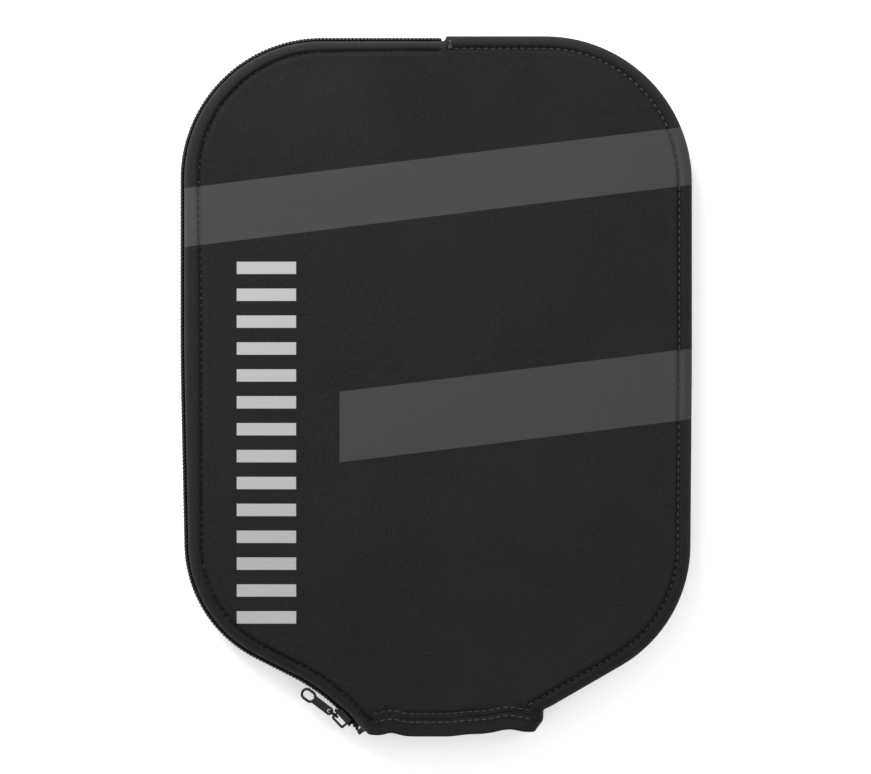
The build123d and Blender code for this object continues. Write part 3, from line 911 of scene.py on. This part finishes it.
def tape(side):
    """One woven tape, from the coil round the neoprene's lip to the stitches under the panel."""
    outer = [(COIL_DEPTH + 0.05, 1.3), (COIL_DEPTH + 0.05, 2.4), (COIL_DEPTH + 0.05, 3.4)]
    outer += [(COIL_DEPTH + 0.3, 4.35), (COIL_DEPTH + 1.2, 5.1), (COIL_DEPTH + 2.3, 5.6)]
    outer += [(5.4, 6.1), (5.45, 7.0)]
    outer += [(7.3 - 1.9 * math.cos(a), 7.0 + 1.9 * math.sin(a)) for a in np.radians((20, 45, 70, 90))]
    outer += [(9.5, 8.85), (11.8, 8.8)]
    outer = np.array(outer)
    along = np.gradient(outer, axis=0)
    along /= np.linalg.norm(along, axis=1, keepdims=True)
    inner = outer + np.stack([along[:, 1], -along[:, 0]], 1) * TAPE_THICK
    section = np.concatenate([outer, inner[::-1]])
    run = np.linspace(0.9, RUN_ZIP_START, 560)
    rows = [beside_zip(run, np.full_like(run, u), np.full_like(run, w), side) for u, w in section]
    vertices = np.stack(rows, 1).reshape(-1, 3)
    vertices[:, 1] = np.maximum(vertices[:, 1], MOUTH_Y + 1.6)
    count = len(section)
    faces = grid_faces(len(run), count, closed=True)
    faces += [tuple(range(count))[::-1], tuple((len(run) - 1) * count + k for k in range(count))]
    if side < 0:
        faces = [tuple(reversed(f)) for f in faces]
    lengths = np.concatenate([[0], np.cumsum(np.linalg.norm(np.diff(section, axis=0), axis=1))])
    pattern = np.stack(
        [np.repeat(run, count), np.tile(lengths, len(run)), np.full(len(vertices), float(side))], 1
    )
    return vertices, faces, pattern


for side, word, body in ((1, "front", FRONT_BODY), (-1, "back", BACK_BODY)):
    chain = new_mesh(f"{word}_coil", *coil(side))
    finish_piece(chain, None if side > 0 else body, "zip_coil", coil_nylon, f"{word}_zip_coil")
    strip_vertices, strip_faces, strip_pattern = tape(side)
    strip = new_mesh(f"{word}_tape", strip_vertices, strip_faces, rest=strip_pattern)
    finish_piece(strip, None if side > 0 else body, "zip_tape", tape_cloth, f"{word}_zip_tape")
    if side > 0:
        bend_at_fold(chain)
        bend_at_fold(strip)

# ---------------------------------------------------------------- stitching


def stitch(start, end, lift):
    """One stitch: a short arched thread that dips into its holes."""
    t = np.linspace(0, 1, 7)[:, None]
    line = start + (end - start) * t
    line = line + lift * (np.sin(t * math.pi) ** 0.6 - 0.75)
    thickness = THREAD_RADIUS * (0.72 + 0.28 * np.sin(t[:, 0] * math.pi))
    return tube(line, thickness, 6, 0.85)


def stitches_along(place, runs, side):
    """A row of stitches along a line of the plan, lying on the panel's outside."""
    surface = front_surface if side > 0 else back_surface
    pieces = []
    for ends in runs:
        spots = [place(run) for run in ends]
        above = [Vector((*spot, MID + side * 60)) for spot in spots]
        found = [surface.ray_cast(start, Vector((0, 0, -side)))[0] for start in above]
        if None not in found:
            start, end = (np.array(spot) for spot in found)
            pieces.append(stitch(start, end, np.array([0, 0, side * STITCH_ARCH])))
    return gather(pieces)


def runs_between(low, high):
    """Start and end of each stitch between two lengths of a line."""
    count = int((high - low) / STITCH_PITCH)
    starts = low + STITCH_PITCH * np.arange(count)
    return [(s, s + STITCH_LENGTH) for s in starts]


def on_line(line):
    """The plan point of a stitch line at a length along it, drawn up with the hem as the panel is."""

    def place(run):
        spot = np.array([np.interp(run / LINE_STEP, np.arange(len(line)), line[:, axis]) for axis in (0, 1)])
        spot[1] += hem_wave(spot[0]) * (1 - smooth(0, HEM_REACH, spot[1] - MOUTH_Y))
        return spot

    return place


def hem_stitch_place(row):
    """The plan points of one of the hem's rows of stitches, by the distance across the mouth."""
    return lambda x: np.array([x, MOUTH_Y + hem_wave(x) + row])


for side, word, body in ((1, "front", FRONT_BODY), (-1, "back", BACK_BODY)):
    zip_length, seam_length = (LINE_STEP * len(line) for line in (zip_stitch_line, seam_stitch_line))
    rows = {
        "zip": stitches_along(on_line(zip_stitch_line), runs_between(0.5, zip_length - 1), side),
        "seam": stitches_along(on_line(seam_stitch_line), runs_between(2.5, seam_length - 1), side),
        "hem": gather(
            [
                stitches_along(hem_stitch_place(row), runs_between(HEM_LEFT, HEM_RIGHT), side)
                for row in HEM_ROWS
            ]
        ),
    }
    for line, (vertices, faces) in rows.items():
        sewn = new_mesh(f"{word}_{line}_stitches", vertices, faces)
        bends = side > 0 and line != "seam"
        finish_piece(sewn, None if bends else BACK_BODY, "thread", sewing, f"{word}_{line}_stitching")
        if bends:
            bend_at_fold(sewn)

# ---------------------------------------------------------------- slider, pull and stops


def bevelled_copy(node, name, body, slot, material, width):
    """A copy of a CAD node with its edges rounded, which stands for the node."""
    copy = bpy.data.objects.new(name, frame["nodes"][node].data.copy())
    bpy.context.scene.collection.objects.link(copy)
    work = bmesh.new()
    work.from_mesh(copy.data)
    bmesh.ops.remove_doubles(work, verts=work.verts, dist=0.01 * MM)
    bmesh.ops.dissolve_limit(work, angle_limit=math.radians(3), verts=work.verts, edges=work.edges)
    for face in work.faces:
        face.smooth = True
    work.to_mesh(copy.data)
    work.free()
    bevel = copy.modifiers.new("round", "BEVEL")
    bevel.width, bevel.segments, bevel.limit_method = width * MM, 3, "ANGLE"
    bevel.angle_limit = math.radians(35)
    bevel.harden_normals = True
    return finish_piece(copy, body, slot, material, node)


bevelled_copy("slider_body", "slider_casting", "slider", "slider_metal", slider_enamel, 0.28)
bevelled_copy("slider_bail", "slider_arch", "slider", "slider_metal", slider_enamel, 0.3)
bevelled_copy("pull_tab", "pull_tab_casting", "tab", "slider_metal", slider_enamel, 0.32)
for node in ("pull_link", "front_zip_stop", "back_zip_stop"):
    frame["nodes"][node].data.materials.clear()
    frame["nodes"][node].data.materials.append(slider_enamel)


def bartack():
    """A block of dense zigzag thread across the zip's end."""
    low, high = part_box("zip_end_bartack")
    low, high = np.array(low) / MM, np.array(high) / MM
    count = int((high[2] - low[2]) / 0.42)
    level = np.linspace(low[2] + 0.3, high[2] - 0.3, count)
    front, back = high[1] - 0.3, low[1] + 0.3
    pieces = []
    for k, z in enumerate(level[:-1]):
        x0, x1 = (low[0] + 0.2, high[0] - 0.2) if k % 2 else (high[0] - 0.2, low[0] + 0.2)
        after = level[k + 1]
        line = [[x0, back, z], [x0, front - 0.3, z], [(x0 + x1) / 2, front, z + 0.2]]
        line += [[x1, front - 0.3, after], [x1, back, after]]
        pieces.append(tube(line, THREAD_RADIUS, 6))
    return gather(pieces)


end_sewing = new_mesh("zip_end_sewing", *bartack())
finish_piece(end_sewing, BACK_BODY, "thread", sewing, "zip_end_bartack")


def face_bartack(side):
    """The short dense bar of stitches on a broad face where the zip ends."""
    pieces = []
    for k in range(BARTACK_THREADS):
        down = 2.3 + BARTACK_PITCH * k
        reach = BARTACK_HALF_WIDTH * (1 if k % 2 else -1)
        ends = ((BARTACK_X + reach, down), (BARTACK_X - reach, down + BARTACK_PITCH / 2))
        sink = 0 if side > 0 else 0.35
        start, end = (np.array([x, TOP_Y - y, MID + side * (roll_height(y) - sink)]) for x, y in ends)
        pieces.append(stitch(start, end, np.array([0, 0, side * STITCH_ARCH])))
    return gather(pieces)


for side, word in ((1, "front"), (-1, "back")):
    bar = new_mesh(f"{word}_bartack", *face_bartack(side))
    finish_piece(bar, BACK_BODY, "thread", sewing)

# ---------------------------------------------------------------- stage


def plain_material(name, colour, roughness, glow=0.0):
    material, main, _ = shader(name, roughness)
    main.inputs["Base Color"].default_value = colour
    main.inputs["Emission Color"].default_value = colour
    main.inputs["Emission Strength"].default_value = glow
    return material


def stage():
    """A plain pale floor that glows a little, light from all round, and two soft lamps."""
    bpy.ops.mesh.primitive_plane_add(size=6, location=(0, 0, -0.0002))
    floor = bpy.context.object
    floor.name = "floor"
    floor.data.materials.append(plain_material("pale_floor", (0.93, 0.93, 0.93, 1), 0.9, glow=0.3))
    world = bpy.data.worlds.new("studio")
    bpy.context.scene.world = world
    world.use_nodes = True
    world.node_tree.nodes["Background"].inputs["Color"].default_value = (1, 1, 1, 1)
    world.node_tree.nodes["Background"].inputs["Strength"].default_value = 0.85
    for name, place, size, power in (
        ("key", (-0.25, 0.46, 0.45), 0.45, 7.5),
        ("fill", (0.8, 0.1, 1.0), 0.9, 2.0),
    ):
        lamp = bpy.data.lights.new(name, "AREA")
        lamp.size, lamp.energy = size, power
        thing = bpy.data.objects.new(name, lamp)
        thing.location = place
        thing.rotation_euler = (-Vector(place)).to_track_quat("-Z", "Y").to_euler()
        bpy.context.scene.collection.objects.link(thing)


VIEW_WIDTH_M = 0.375
LENS = 180.0
SENSOR = 36.0


def camera():
    """A long lens straight above the middle of the case."""
    data = bpy.data.cameras.new("camera")
    data.lens, data.sensor_width = LENS, SENSOR
    thing = bpy.data.objects.new("camera", data)
    thing.location = (0, 0, MID * MM + VIEW_WIDTH_M * LENS / SENSOR)
    bpy.context.scene.collection.objects.link(thing)
    bpy.context.scene.camera = thing


stage()
camera()
bpy.context.scene.view_settings.view_transform = "Standard"
